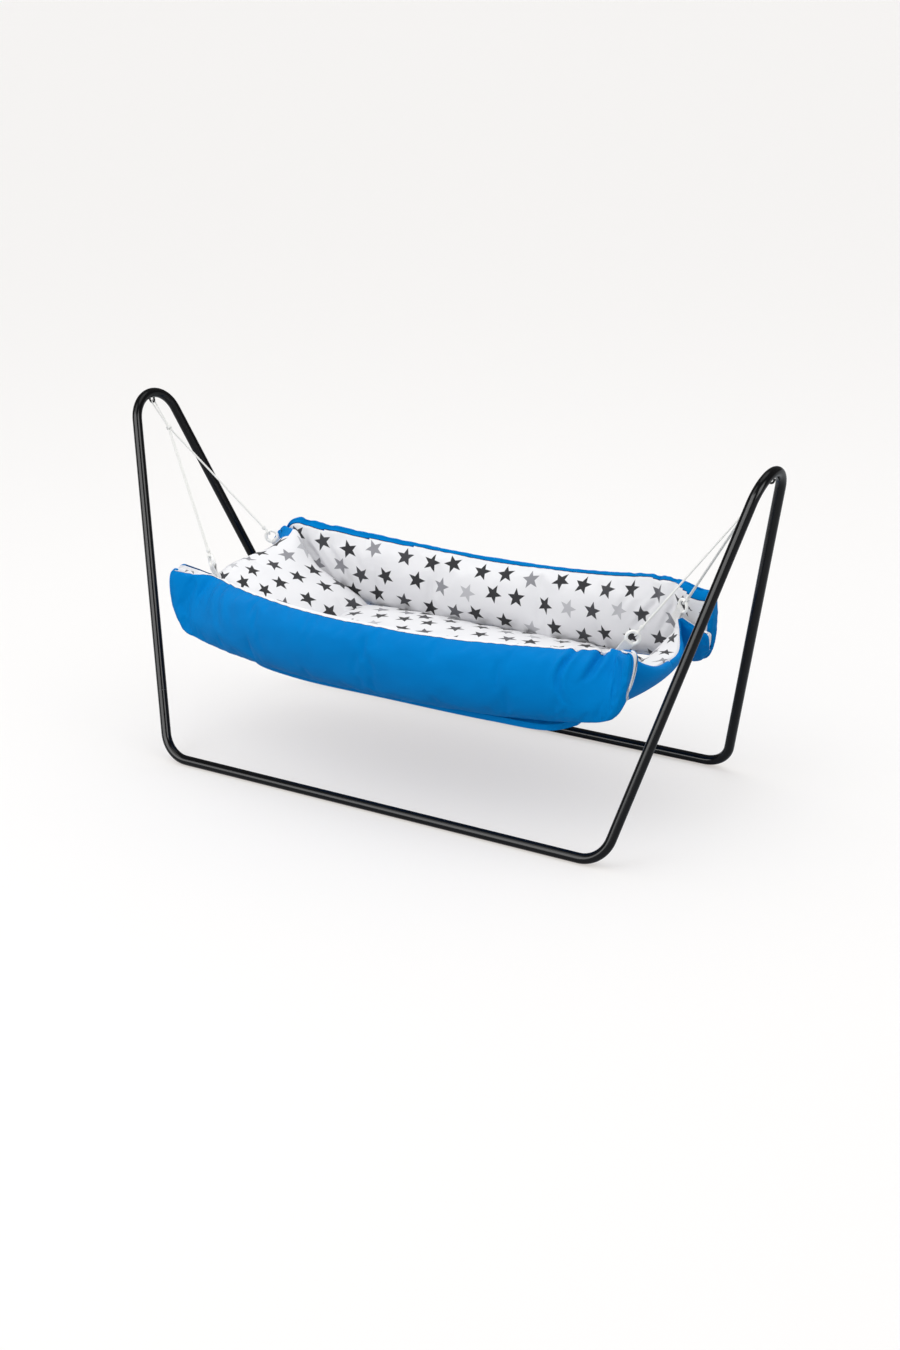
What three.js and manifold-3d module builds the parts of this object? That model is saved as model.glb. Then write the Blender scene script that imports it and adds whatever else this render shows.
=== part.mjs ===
// Hanging baby cradle: a padded cloth nest that swings on white cords in a stand of bent steel tube.
// The stand is four tubes plugged together on inner sleeves; the nest hangs by a sling at each end.
// Millimetres, +Z up, +X along the cradle, the floor at z = 0 and the origin under the middle.
import * as THREE from "three";
import { mergeVertices } from "three/addons/utils/BufferGeometryUtils.js";
import Module from "manifold-3d";

const wasm = await Module();
wasm.setup();

// Fits shared by all pieces
const seat_gap = 0.3;
const soft_gap = 0.45; // between cloth pieces, so that at least the seat gap is left at their rims
const merge_distance = 0.001;

// Stand: two floor rails and two arches of one tube size, bent on one die
const tube_diameter = 20;
const tube_wall = 1.5;
const bend_radius = 64;
const stand_half_width = 262.5;
const leg_rise = 855; // from a rail's centreline up to where an arch's leg lines meet
const leg_lean = 246; // how far the legs lean outwards over that rise
const leg_clearance = 60.29; // from the longest ear's tip to a leg's centreline, at the pinches' height
const joint_height = 128; // where a rail plugs into an arch, above the rail's centreline
const sleeve_length = 80;
const tube_sides = 16;
const bore_sides = 10;
const bend_steps = 6;

// Eyes that carry the cords, bent from wire and welded under each arch
const eye_wire = 4;
const eye_radius = 6;
const eye_drop = 14; // from the tube's centreline to the centre of the eye's round end
const eye_sides = 8;

// Sling cords
const cord_diameter = 3;
const cord_clearance = 0.7; // round the wire of an eye or ring, so that the cord can rock on it
const cord_play = 1.1; // under a ring's wire
const cord_sides = 8;
const hairpin_steps = 2;
const loop_length = 59; // from the eye down to the knot
const knot_diameter = 12;
const knot_wraps = 3;
const ring_knot_diameter = 8.5;
const ring_knot_lift = 5; // above the ring's wire
const ring_knot_wraps = 3;
const strand_spread = 3.4; // between the two strands of a leg
const wrap_points = 3;
const knot_sides = 8;

// Nylon rings and the webbing tabs that hold them
const ring_hole = 18;
const ring_wire = 6.5;
const ring_steps = 20;
const ring_sides = 8;
const tab_width = 20;
const tab_length = 22; // from the pinch to the ring's wire
const strap_thickness = 1.8;
const tab_root = 14; // how deep the tab is sewn in
const tab_points = 8;

// Pinches: the four places where the rims of side and end are sewn together round a tab
const pinch_half_length = 476;
const pinch_half_width = 113;
const pinch_height = 369;
const pinch_spread = 4.5; // from the tab's middle to the middle of each rim

// Bolsters along the two sides
const rim_half_width = 224;
const rim_height_front = 376;
const rim_height_back = 380;
const rim_swell_back = 24; // how much higher the back rim stands towards its ends
const foot_half_width = 206;
const foot_height = 231;
const bolster_fill = 80;
const bolster_bow = 8;
const bolster_edge = 3;
const bolster_along = 36;
const bolster_across = 7;

// Ears: the folded corners that stand out past the pinches
const ear_lengths = { front_left: 84, front_right: 40, back_left: 46, back_right: 62 };
const ear_lifts = { front_left: 15, front_right: 14, back_left: 4, back_right: 46 }; // above the pinch
const ear_spread = 34; // how far an ear's outer rim turns out again past the pinch
const ear_edge = 2;
const lining_lifts = { front_left: 18, front_right: 14, back_left: 4, back_right: -30 }; // inner layer's tip
const lining_spreads = { front_left: 18, front_right: 28, back_left: 28, back_right: 16 };
const crown_heights = { left: 38, right: 52 }; // the back rim's peaks above the pinches
const crown_back_spread = 26; // and how far behind them the peaks stand

// End pads, with the inner layer of both ears
const end_foot_reach_left = 296;
const end_foot_reach_right = 408;
const end_foot_height = 240;
const end_rim_reach_left = 496;
const end_rim_reach_right = 520;
const end_rim_height_left = 373;
const end_rim_height_right = 318;
const end_fill_left = 62;
const end_fill_right = 42;
const end_along = 32;
const end_across = 6;

// Floor: mattress on a stiffened base panel
const base_reach_left = 380;
const base_reach_right = 400;
const base_half_width = 200;
const base_underside = 212;
const base_thickness = 16;
const base_edge = 6;
const mattress_reach_left = 322;
const mattress_reach_right = 394;
const mattress_half_width = 196;
const mattress_thickness = 38;
const mattress_edge = 7;
const floor_along = 14;
const floor_across = 6;

// Finishes
const finish = {
  steel: new THREE.MeshStandardMaterial({ color: 0x16171a, roughness: 0.42, metalness: 0.3 }),
  zinc: new THREE.MeshStandardMaterial({ color: 0x9a9ca0, roughness: 0.5, metalness: 0.9 }),
  cord: new THREE.MeshStandardMaterial({ color: 0xf1f1ee, roughness: 0.85, metalness: 0 }),
  nylon: new THREE.MeshStandardMaterial({ color: 0xf4f4f2, roughness: 0.35, metalness: 0 }),
  webbing: new THREE.MeshStandardMaterial({ color: 0xf2f2f0, roughness: 0.8, metalness: 0 }),
  blue: new THREE.MeshStandardMaterial({ color: 0x0f78d2, roughness: 0.75, metalness: 0 }),
  white: new THREE.MeshStandardMaterial({ color: 0xf0f0f1, roughness: 0.85, metalness: 0 }),
};

// Small vector helpers
const vector = (x, y, z) => new THREE.Vector3(x, y, z);
const towards = (from, to) => to.clone().sub(from).normalize();
const along = (from, direction, distance) => from.clone().addScaledVector(direction, distance);
const plus_x = vector(1, 0, 0);
const plus_y = vector(0, 1, 0);
const plus_z = vector(0, 0, 1);

// A run of straight lengths and round bends in one plane, with stations where it starts, turns and ends.
class BentRun extends THREE.Curve {
  constructor(corners, side, radius = 0, steps = 1) {
    super();
    this.side = side.clone().normalize();
    const last = corners.length - 1;
    this.stations = [{ point: corners[0], tangent: towards(corners[0], corners[1]) }];
    for (let i = 1; i < last; i += 1) {
      const before = towards(corners[i - 1], corners[i]);
      const after = towards(corners[i], corners[i + 1]);
      this.addBend(corners[i], before, after, radius, steps);
    }
    this.addStation(corners[last], towards(corners[last - 1], corners[last]));
  }
  addStation(point, tangent) {
    if (point.distanceTo(this.stations.at(-1).point) > merge_distance) this.stations.push({ point, tangent });
  }
  addBend(corner, before, after, radius, steps) {
    const turn = before.angleTo(after);
    const inward = along(after, before, -after.dot(before)).normalize();
    const centre = along(along(corner, before, -radius * Math.tan(turn / 2)), inward, radius);
    for (let step = 0; step <= steps; step += 1) {
      const angle = (turn * step) / steps;
      const out = along(along(centre, inward, -radius * Math.cos(angle)), before, radius * Math.sin(angle));
      const tangent = before.clone().multiplyScalar(Math.cos(angle)).addScaledVector(inward, Math.sin(angle));
      this.addStation(out, tangent);
    }
  }
  getPointAt(share, target = new THREE.Vector3()) {
    return target.copy(this.stations[Math.round(share * (this.stations.length - 1))].point);
  }
  computeFrenetFrames() {
    const tangents = this.stations.map((station) => station.tangent.clone());
    const binormals = tangents.map(() => this.side.clone());
    const normals = tangents.map((tangent) => this.side.clone().cross(tangent));
    return { tangents, normals, binormals };
  }
}

// A regular polygon round a circle of the given radius, its first corner at the given turn.
function polygon(radius, sides, turn = 0) {
  const corner_radius = radius / Math.cos(Math.PI / sides);
  return Array.from({ length: sides }, (_, i) => {
    const angle = turn + (2 * Math.PI * i) / sides;
    return new THREE.Vector2(corner_radius * Math.cos(angle), corner_radius * Math.sin(angle));
  });
}

// A round bar, or a tube if it has a bore, along a bent run.
function bar(run, radius, sides, turn = 0, bore = 0, hole_sides = sides) {
  const section = new THREE.Shape(polygon(radius, sides, turn));
  if (bore > 0) section.holes.push(new THREE.Path(polygon(bore, hole_sides, turn)));
  return new THREE.ExtrudeGeometry(section, { steps: run.stations.length - 1, extrudePath: run });
}

// A geometry with only its position, shared corners and faces that point outwards.
function facingOut(geometry) {
  const bare = geometry.index ? geometry.toNonIndexed() : geometry.clone();
  bare.deleteAttribute("normal");
  bare.deleteAttribute("uv");
  const merged = mergeVertices(bare, merge_distance);
  const places = merged.attributes.position;
  const vertex = (i) => new THREE.Vector3().fromBufferAttribute(places, merged.index.getX(i));
  let volume = 0;
  for (let i = 0; i < merged.index.count; i += 3) {
    volume += vertex(i).dot(vertex(i + 1).cross(vertex(i + 2)));
  }
  if (volume < 0) {
    for (let i = 0; i < merged.index.count; i += 3) {
      const second = merged.index.getX(i + 1);
      merged.index.setX(i + 1, merged.index.getX(i + 2));
      merged.index.setX(i + 2, second);
    }
  }
  return merged;
}

function solidOf(geometry) {
  const closed = facingOut(geometry);
  const triVerts = new Uint32Array(closed.index.array);
  return new wasm.Manifold(
    new wasm.Mesh({ numProp: 3, vertProperties: closed.attributes.position.array, triVerts }),
  );
}

function geometryOf(solid) {
  const mesh = solid.getMesh();
  return new THREE.BufferGeometry()
    .setAttribute("position", new THREE.BufferAttribute(mesh.vertProperties, 3))
    .setIndex(new THREE.BufferAttribute(mesh.triVerts, 1));
}

function cut(geometry, ...cutters) {
  return geometryOf(cutters.reduce((solid, cutter) => solid.subtract(solidOf(cutter)), solidOf(geometry)));
}

// A cutter that leaves the seat gap all round a soft piece, a little more than that on its faces.
function grown(geometry) {
  const shape = facingOut(geometry);
  shape.computeVertexNormals();
  const places = shape.attributes.position;
  const normals = shape.attributes.normal;
  for (let i = 0; i < places.count; i += 1) {
    const normal = new THREE.Vector3().fromBufferAttribute(normals, i);
    const place = new THREE.Vector3().fromBufferAttribute(places, i).addScaledVector(normal, soft_gap);
    places.setXYZ(i, ...place.toArray());
  }
  return shape;
}

function joined(...geometries) {
  return geometryOf(geometries.map(solidOf).reduce((solid, other) => solid.add(other)));
}

function named(name, geometry, material) {
  const mesh = new THREE.Mesh(facingOut(geometry), material);
  mesh.name = name;
  return mesh;
}

// Puts a shape made about its own axes at a point, with its +Z along up and its +X along across.
function placed(geometry, origin, up, across) {
  const basis = new THREE.Matrix4().makeBasis(across, up.clone().cross(across), up).setPosition(origin);
  return geometry.applyMatrix4(basis);
}

// Stand
const tube_radius = tube_diameter / 2;
const bore_radius = tube_radius - tube_wall;
const ear_reach = pinch_half_length + Math.max(...Object.values(ear_lengths));
const lean_at_pinch = (leg_lean * (pinch_height - tube_radius)) / leg_rise;
const rail_half_length = ear_reach + leg_clearance - lean_at_pinch; // to where rail and leg meet

// A point on the centreline of a leg: end is -1 left or 1 right, side is -1 front or 1 back.
function legPoint(end, side, height) {
  const share = height / leg_rise;
  const reach = rail_half_length + leg_lean * share;
  return vector(end * reach, side * stand_half_width * (1 - share), tube_radius + height);
}

// The turn that puts one flat of a tube's section straight down on the floor.
function flatDown(run, sides) {
  const middle = run.stations[Math.floor(run.stations.length / 2)].tangent;
  const normal = run.side.clone().cross(middle);
  return Math.atan2(-run.side.z, -normal.z) - Math.PI / sides;
}

function floorRail(side) {
  const leg = towards(legPoint(-1, side, 0), legPoint(-1, side, joint_height));
  const normal = leg.clone().cross(plus_x);
  const short = joint_height - seat_gap / 2;
  const corners = [
    legPoint(-1, side, short),
    legPoint(-1, side, 0),
    legPoint(1, side, 0),
    legPoint(1, side, short),
  ];
  const run = new BentRun(corners, normal, bend_radius, bend_steps);
  return bar(run, tube_radius, tube_sides, flatDown(run, tube_sides), bore_radius, bore_sides);
}

function archRun(end) {
  const start = joint_height + seat_gap / 2;
  const corners = [legPoint(end, -1, start), legPoint(end, 0, leg_rise), legPoint(end, 1, start)];
  const normal = towards(legPoint(end, 0, 0), legPoint(end, 0, leg_rise)).cross(plus_y);
  return new BentRun(corners, normal, bend_radius, 2 * bend_steps);
}

function jointSleeve(end, side) {
  const joint = legPoint(end, side, joint_height);
  const leg = towards(legPoint(end, side, 0), joint);
  const ends = [along(joint, leg, -sleeve_length / 2), along(joint, leg, sleeve_length / 2)];
  const radius = (bore_radius - seat_gap) * Math.cos(Math.PI / bore_sides); // its corners clear the bore
  return bar(new BentRun(ends, leg.clone().cross(plus_x)), radius, bore_sides, 0, radius - tube_wall);
}

// The middle of an arch's top bend and the direction down along the arch from there.
function archTop(end) {
  const stations = archRun(end).stations;
  const point = stations[Math.floor(stations.length / 2)].point;
  return { point, down: towards(legPoint(end, 0, leg_rise), legPoint(end, 0, 0)) };
}

function cordEye(end) {
  const top = archTop(end);
  const across = plus_y.clone().cross(top.down);
  const tip = along(top.point, top.down, eye_drop + eye_radius);
  const corners = [
    along(top.point, across, -eye_radius),
    along(tip, across, -eye_radius),
    along(tip, across, eye_radius),
    along(top.point, across, eye_radius),
  ];
  const wire_run = new BentRun(corners, plus_y, eye_radius, bend_steps);
  const wire = bar(wire_run, eye_wire / 2, eye_sides);
  const reach = vector(0, tube_diameter, 0);
  const ends = [top.point.clone().sub(reach), top.point.clone().add(reach)];
  return cut(wire, bar(new BentRun(ends, plus_z), tube_radius + seat_gap, tube_sides));
}

// Slings: where the cord bears on each eye, its pull, its knot and the line of each leg
function sling(end) {
  const top = archTop(end);
  const round_end = along(top.point, top.down, eye_drop);
  const pull = towards(round_end, vector(end * pinch_half_length, 0, pinch_height));
  const bearing = along(round_end, pull, eye_radius);
  return { bearing, pull, knot: along(bearing, pull, loop_length) };
}

function corner(end, side) {
  const pinch = vector(end * pinch_half_length, side * pinch_half_width, pinch_height);
  const up = towards(pinch, sling(end).knot);
  const facing = up.clone().cross(plus_z).normalize();
  return { pinch, up, facing };
}

const cord_radius = cord_diameter / 2;
const ring_radius = (ring_hole + ring_wire) / 2;
const ring_top = tab_length + 2 * ring_radius; // from the pinch to the wire at the ring's top

// A knot's wraps as one turned shape from z = 0 upwards.
function knotShape(diameter, wraps) {
  const core = diameter / 2 - cord_radius;
  const outline = [new THREE.Vector2(0, 0)];
  for (let wrap = 0; wrap < wraps; wrap += 1) {
    for (let i = 0; i <= wrap_points; i += 1) {
      if (wrap > 0 && i === 0) continue;
      const angle = (Math.PI * i) / wrap_points;
      const height = cord_diameter * wrap + cord_radius * (1 - Math.cos(angle));
      outline.push(new THREE.Vector2(core + cord_radius * Math.sin(angle), height));
    }
  }
  outline.push(new THREE.Vector2(0, wraps * cord_diameter));
  return new THREE.LatheGeometry(outline, knot_sides).rotateX(Math.PI / 2);
}

// The doubled cord from the knot up over the eye and back.
function cordLoop(end) {
  const { bearing, pull, knot } = sling(end);
  const half = (eye_wire + cord_diameter) / 2 + cord_clearance;
  const foot = along(knot, pull, -seat_gap);
  const shoulder = along(bearing, pull, half);
  const crest = along(bearing, pull, -half);
  const inset = strand_spread / 2;
  const corners = [
    along(foot, plus_y, -inset),
    along(shoulder, plus_y, -half),
    along(crest, plus_y, -half),
    along(crest, plus_y, half),
    along(shoulder, plus_y, half),
    along(foot, plus_y, inset),
  ];
  const run = new BentRun(corners, pull.clone().cross(plus_y), half, hairpin_steps);
  return bar(run, cord_radius, cord_sides);
}

// One leg: two strands from the knot, round the ring's wire, with a small knot above the ring.
function slingLeg(end, side) {
  const { knot, pull } = sling(end);
  const { pinch, up, facing } = corner(end, side);
  const half = (ring_wire + cord_diameter) / 2 + cord_clearance;
  const inset = strand_spread / 2;
  const start = along(knot, pull, cord_diameter);
  const bottom = along(pinch, up, ring_top - ring_wire / 2 - cord_radius - cord_play);
  const shoulder = along(pinch, up, ring_top + ring_wire / 4);
  const neck = along(pinch, up, ring_top + ring_wire / 2 + ring_knot_lift);
  const corners = [
    along(start, facing, -inset),
    along(neck, facing, -inset),
    along(shoulder, facing, -half),
    along(bottom, facing, -half),
    along(bottom, facing, half),
    along(shoulder, facing, half),
    along(neck, facing, inset),
    along(start, facing, inset),
  ];
  const run = new BentRun(corners, up.clone().cross(facing), half, hairpin_steps);
  const small_knot = placed(knotShape(ring_knot_diameter, ring_knot_wraps), neck, up, facing);
  return joined(bar(run, cord_radius, cord_sides), small_knot);
}

function slingCord(end) {
  const { knot, pull } = sling(end);
  const top_knot = placed(knotShape(knot_diameter, knot_wraps), knot, pull, plus_y);
  return joined(top_knot, slingLeg(end, -1), slingLeg(end, 1));
}

function ringShape(grow = 0) {
  const torus = new THREE.TorusGeometry(ring_radius, ring_wire / 2 + grow, ring_sides, ring_steps);
  return torus.rotateZ(Math.PI / 2).rotateY(Math.PI / 2);
}

function ring(end, side, grow = 0) {
  const { pinch, up, facing } = corner(end, side);
  return placed(ringShape(grow), along(pinch, up, tab_length + ring_radius), up, facing);
}

// A webbing tab, folded round the ring's wire and sewn flat below it.
function tab(end, side, cutters) {
  const { pinch, up, facing } = corner(end, side);
  const round = ring_wire / 2 + seat_gap + strap_thickness;
  const outline = new THREE.Shape();
  outline.moveTo(-strap_thickness, -tab_root);
  outline.lineTo(strap_thickness, -tab_root);
  outline.lineTo(strap_thickness, tab_length / 3);
  outline.lineTo(round, tab_length);
  outline.absarc(0, tab_length, round, 0, Math.PI, false);
  outline.lineTo(-strap_thickness, tab_length / 3);
  const options = { depth: tab_width, bevelEnabled: false, curveSegments: tab_points };
  const strap = new THREE.ExtrudeGeometry(outline, options);
  strap.translate(0, 0, -tab_width / 2).rotateX(Math.PI / 2);
  return cut(placed(strap, pinch, up, facing), ring(end, side, seat_gap), ...cutters);
}

// A stuffed panel: a middle surface between two edge curves, swollen to both sides by its filling.
// fills holds the full thickness at each of the curves' points, swell_shares how it parts to either side.
function stuffedPanel(panel) {
  const { lower, upper, fills, bow, edge, columns, rows, swell_shares = [1, 1] } = panel;
  const low = new THREE.CatmullRomCurve3(lower, false, "centripetal");
  const high = new THREE.CatmullRomCurve3(upper, false, "centripetal");
  const fill_points = fills.map((thickness) => vector(thickness, 0, 0));
  const fill = new THREE.CatmullRomCurve3(fill_points, false, "catmullrom");
  const middle = (u, v) => {
    const share = (1 - Math.cos(Math.PI * v)) / 2;
    const bulge = Math.sin(Math.PI * u) * Math.sin(Math.PI * v);
    return along(low.getPoint(u).lerp(high.getPoint(u), share), bow, bulge);
  };
  const step = 1 / (8 * columns);
  const point = (u, v, face) => {
    const run = towards(middle(Math.max(u - step, 0), v), middle(Math.min(u + step, 1), v));
    const rise = towards(middle(u, Math.max(v - step, 0)), middle(u, Math.min(v + step, 1)));
    const normal = run.clone().cross(rise).normalize();
    const half = edge + Math.max(fill.getPoint(u).x / 2 - edge, 0) * Math.sin(Math.PI * v);
    return along(middle(u, v), normal, face * half * swell_shares[face > 0 ? 0 : 1]);
  };
  const places = [];
  const faces = [];
  const index = (i, j, layer) => (i * (rows + 1) + j) * 2 + layer;
  for (let i = 0; i <= columns; i += 1) {
    for (let j = 0; j <= rows; j += 1) {
      for (const face of [1, -1]) places.push(...point(i / columns, j / rows, face).toArray());
    }
  }
  const quad = (a, b, c, d) => faces.push(a, b, c, a, c, d);
  for (let i = 0; i < columns; i += 1) {
    for (let j = 0; j < rows; j += 1) {
      quad(index(i, j, 0), index(i + 1, j, 0), index(i + 1, j + 1, 0), index(i, j + 1, 0));
      quad(index(i, j, 1), index(i, j + 1, 1), index(i + 1, j + 1, 1), index(i + 1, j, 1));
    }
    quad(index(i, 0, 0), index(i, 0, 1), index(i + 1, 0, 1), index(i + 1, 0, 0));
    quad(index(i, rows, 1), index(i, rows, 0), index(i + 1, rows, 0), index(i + 1, rows, 1));
  }
  for (let j = 0; j < rows; j += 1) {
    quad(index(0, j, 1), index(0, j, 0), index(0, j + 1, 0), index(0, j + 1, 1));
    quad(index(columns, j, 0), index(columns, j, 1), index(columns, j + 1, 1), index(columns, j + 1, 0));
  }
  const geometry = new THREE.BufferGeometry();
  geometry.setAttribute("position", new THREE.Float32BufferAttribute(places, 3)).setIndex(faces);
  return geometry;
}

// Bolsters: places from the middle out to the pinch, then on to the ear's tip
const run_shares = [0, 0.3, 0.6, 0.83, 1];
const rim_bulge_shares = [1, 0.93, 0.67, 0.32, 0];
const rim_swell_shares = [0, 0.25, 0.75, 1, 0.3];
const foot_width_shares = [1, 1, 0.98, 0.95, 0.9];
const foot_rise_shares = [0, 0, 0.04, 0.1, 0.18];
const bolster_fill_shares = [1, 0.98, 0.88, 0.7, 0.42];
const ear_run_shares = [0.55, 1];
const ear_foot_run_shares = [0.52, 0.8];
const ear_foot_width_shares = [0.86, 0.8];
const ear_foot_rise_shares = [0.25, 0.43];
const ear_fill_shares = [0.34, 0.2];

const sideName = (side) => (side < 0 ? "front" : "back");
const endName = (end) => (end < 0 ? "left" : "right");
const cornerName = (end, side) => sideName(side) + "_" + endName(end);

// The rim, foot and filling of half a bolster, from its middle to the tip of one ear.
function halfBolster(end, side) {
  const rim_height = side < 0 ? rim_height_front : rim_height_back;
  const rim_swell = side < 0 ? 0 : rim_swell_back;
  const crown = side < 0 ? 0 : crown_heights[endName(end)];
  const crown_spread = side < 0 ? 0 : crown_back_spread;
  const depth = rim_height - foot_height;
  const pinch_rim = pinch_half_width + pinch_spread;
  const half = run_shares.map((share, i) => {
    const bulge = (rim_half_width - pinch_rim) * rim_bulge_shares[i];
    const rim_y = pinch_rim + bulge + crown_spread * share ** 4;
    const level = THREE.MathUtils.lerp(rim_height, pinch_height + crown, share ** 4);
    const x = end * pinch_half_length * share;
    const foot_y = side * foot_half_width * foot_width_shares[i];
    return {
      rim: vector(x, side * rim_y, level + rim_swell * rim_swell_shares[i]),
      foot: vector(x, foot_y, foot_height + depth * foot_rise_shares[i]),
      fill: bolster_fill * bolster_fill_shares[i],
    };
  });
  const ear_length = ear_lengths[cornerName(end, side)];
  ear_run_shares.forEach((share, i) => {
    const rim_x = end * (pinch_half_length + ear_length * share);
    const rim_y = pinch_rim + crown_spread * (1 - share) + ear_spread * share;
    const rim_z = pinch_height + crown * (1 - share) + ear_lifts[cornerName(end, side)] * share;
    const foot_x = end * (pinch_half_length + ear_length * ear_foot_run_shares[i]);
    const foot_y = side * foot_half_width * ear_foot_width_shares[i];
    half.push({
      rim: vector(rim_x, side * rim_y, rim_z),
      foot: vector(foot_x, foot_y, foot_height + depth * ear_foot_rise_shares[i]),
      fill: bolster_fill * ear_fill_shares[i],
    });
  });
  return half;
}

function bolster(side) {
  const places = [...halfBolster(-1, side).slice(1).reverse(), ...halfBolster(1, side)];
  return stuffedPanel({
    lower: places.map((place) => place.foot),
    upper: places.map((place) => place.rim),
    fills: places.map((place) => place.fill),
    bow: vector(0, side * bolster_bow, 0),
    edge: bolster_edge,
    columns: bolster_along,
    rows: bolster_across,
  });
}

// End pads: from the tip of the back ear along its inner layer, round the pinch and across to the middle
const lining_run_shares = [1, 0.55, 0.1];
const lining_foot_run_shares = [0.8, 0.52, 0.1];
const lining_foot_width_shares = [0.74, 0.79, 0.82];
const lining_rise_shares = [0.43, 0.25, 0.18];
const lining_fill_shares = [0.2, 0.22, 0.24];
const pad_width_shares = [0.84, 0.45];
const pad_fill_shares = [0.5, 0.9];

function endPad(end) {
  const foot_reach = end < 0 ? end_foot_reach_left : end_foot_reach_right;
  const rim_reach = end < 0 ? end_rim_reach_left : end_rim_reach_right;
  const rim_height = end < 0 ? end_rim_height_left : end_rim_height_right;
  const fill = end < 0 ? end_fill_left : end_fill_right;
  const pinch_rim = pinch_half_width - pinch_spread;
  const depth = rim_height_front - foot_height;
  const half = (side) => {
    const ear_length = ear_lengths[cornerName(end, side)];
    const lift = lining_lifts[cornerName(end, side)];
    const spread = lining_spreads[cornerName(end, side)];
    const lining = lining_run_shares.map((share, i) => {
      const rim_x = end * (pinch_half_length + ear_length * share);
      const foot_x = end * (pinch_half_length + ear_length * lining_foot_run_shares[i]);
      const foot_y = side * foot_half_width * lining_foot_width_shares[i];
      return {
        rim: vector(rim_x, side * (pinch_rim + spread * share), pinch_height + lift * share),
        foot: vector(foot_x, foot_y, foot_height + depth * lining_rise_shares[i] + ear_edge),
        fill: bolster_fill * lining_fill_shares[i],
      };
    });
    const pad = pad_width_shares.map((share, i) => {
      const rim_share = 1 - share ** 3;
      return {
        rim: vector(
          end * THREE.MathUtils.lerp(pinch_half_length, rim_reach, rim_share),
          side * pinch_rim * share,
          THREE.MathUtils.lerp(pinch_height, rim_height, rim_share),
        ),
        foot: vector(end * foot_reach, side * foot_half_width * share, end_foot_height),
        fill: fill * pad_fill_shares[i],
      };
    });
    return [...lining, ...pad];
  };
  const middle = {
    rim: vector(end * rim_reach, 0, rim_height),
    foot: vector(end * foot_reach, 0, end_foot_height),
    fill,
  };
  const places = [...half(1), middle, ...half(-1).reverse()];
  return stuffedPanel({
    lower: places.map((place) => place.foot),
    upper: places.map((place) => place.rim),
    fills: places.map((place) => place.fill),
    bow: vector(0, 0, 0),
    edge: ear_edge,
    columns: end_along,
    rows: end_across,
  });
}

// Mattress and base: flat pads whose edge curves draw in at the corners
const floor_run_shares = [0, 0.04, 0.2, 0.5, 0.8, 0.96, 1];
const base_width_shares = [0.82, 0.95, 1, 1, 1, 0.95, 0.82];
const mattress_width_shares = [0.8, 0.93, 1, 1, 1, 0.87, 0.7];
const floor_fill_shares = [0.4, 0.75, 1, 1, 1, 0.75, 0.4];

function floorPad({ left, right, half_width, width_shares, level, thickness, edge, swell_shares }) {
  const reach = (share) => THREE.MathUtils.lerp(-left, right, share);
  const edgeLine = (side) =>
    floor_run_shares.map((share, i) => {
      return vector(reach(share), side * half_width * width_shares[i], level);
    });
  return stuffedPanel({
    lower: edgeLine(-1),
    upper: edgeLine(1),
    fills: floor_fill_shares.map((share) => thickness * share),
    bow: vector(0, 0, 0),
    edge,
    columns: floor_along,
    rows: floor_across,
    swell_shares,
  });
}

const base_top = base_underside + base_thickness;
const down_swell_shares = [0, 2];
const up_swell_shares = [2, 0];
const bolster_walls = [grown(bolster(-1)), grown(bolster(1))];
const end_walls = [grown(endPad(-1)), grown(endPad(1))];

function basePanel() {
  const pad = floorPad({
    left: base_reach_left,
    right: base_reach_right,
    half_width: base_half_width,
    width_shares: base_width_shares,
    level: base_top,
    thickness: base_thickness,
    edge: base_edge,
    swell_shares: down_swell_shares,
  });
  return cut(pad, ...bolster_walls, ...end_walls);
}

function mattress() {
  const pad = floorPad({
    left: mattress_reach_left,
    right: mattress_reach_right,
    half_width: mattress_half_width,
    width_shares: mattress_width_shares,
    level: base_top + seat_gap,
    thickness: mattress_thickness,
    edge: mattress_edge,
    swell_shares: up_swell_shares,
  });
  return cut(pad, ...bolster_walls, ...end_walls);
}

// The cradle, one group for each body that moves by itself
const stand = new THREE.Group();
const hangers = new THREE.Group();
const nest = new THREE.Group();
const cradle = new THREE.Group();
cradle.add(stand, hangers, nest);

for (const side of [-1, 1]) {
  stand.add(named("floor_rail_" + sideName(side), floorRail(side), finish.steel));
  nest.add(named("bolster_" + sideName(side), bolster(side), finish.blue));
}
for (const end of [-1, 1]) {
  const end_name = endName(end);
  const arch = bar(archRun(end), tube_radius, tube_sides, Math.PI / tube_sides, bore_radius, bore_sides);
  stand.add(named("arch_" + end_name, arch, finish.steel));
  stand.add(named("cord_eye_" + end_name, cordEye(end), finish.steel));
  hangers.add(named("cord_loop_" + end_name, cordLoop(end), finish.cord));
  const sling_group = new THREE.Group();
  sling_group.add(named("sling_cord_" + end_name, slingCord(end), finish.cord));
  cradle.add(sling_group);
  nest.add(named("end_pad_" + end_name, cut(endPad(end), ...bolster_walls), finish.white));
  for (const side of [-1, 1]) {
    const place = cornerName(end, side);
    stand.add(named("joint_sleeve_" + place, jointSleeve(end, side), finish.zinc));
    nest.add(named("ring_" + place, ring(end, side), finish.nylon));
    nest.add(named("tab_" + place, tab(end, side, [...bolster_walls, ...end_walls]), finish.webbing));
  }
}
nest.add(named("base_panel", basePanel(), finish.blue));
nest.add(named("mattress", mattress(), finish.white));

export default cradle;
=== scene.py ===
"""Hanging baby cradle: a padded cloth nest on cord slings in a stand of bent, powder-coated steel tube.

Metres, +Z up, +X along the cradle, the floor at z = 0.
"""

import math
from itertools import product

import bmesh
import bpy
import numpy as np
from mathutils import Matrix, Vector


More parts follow.
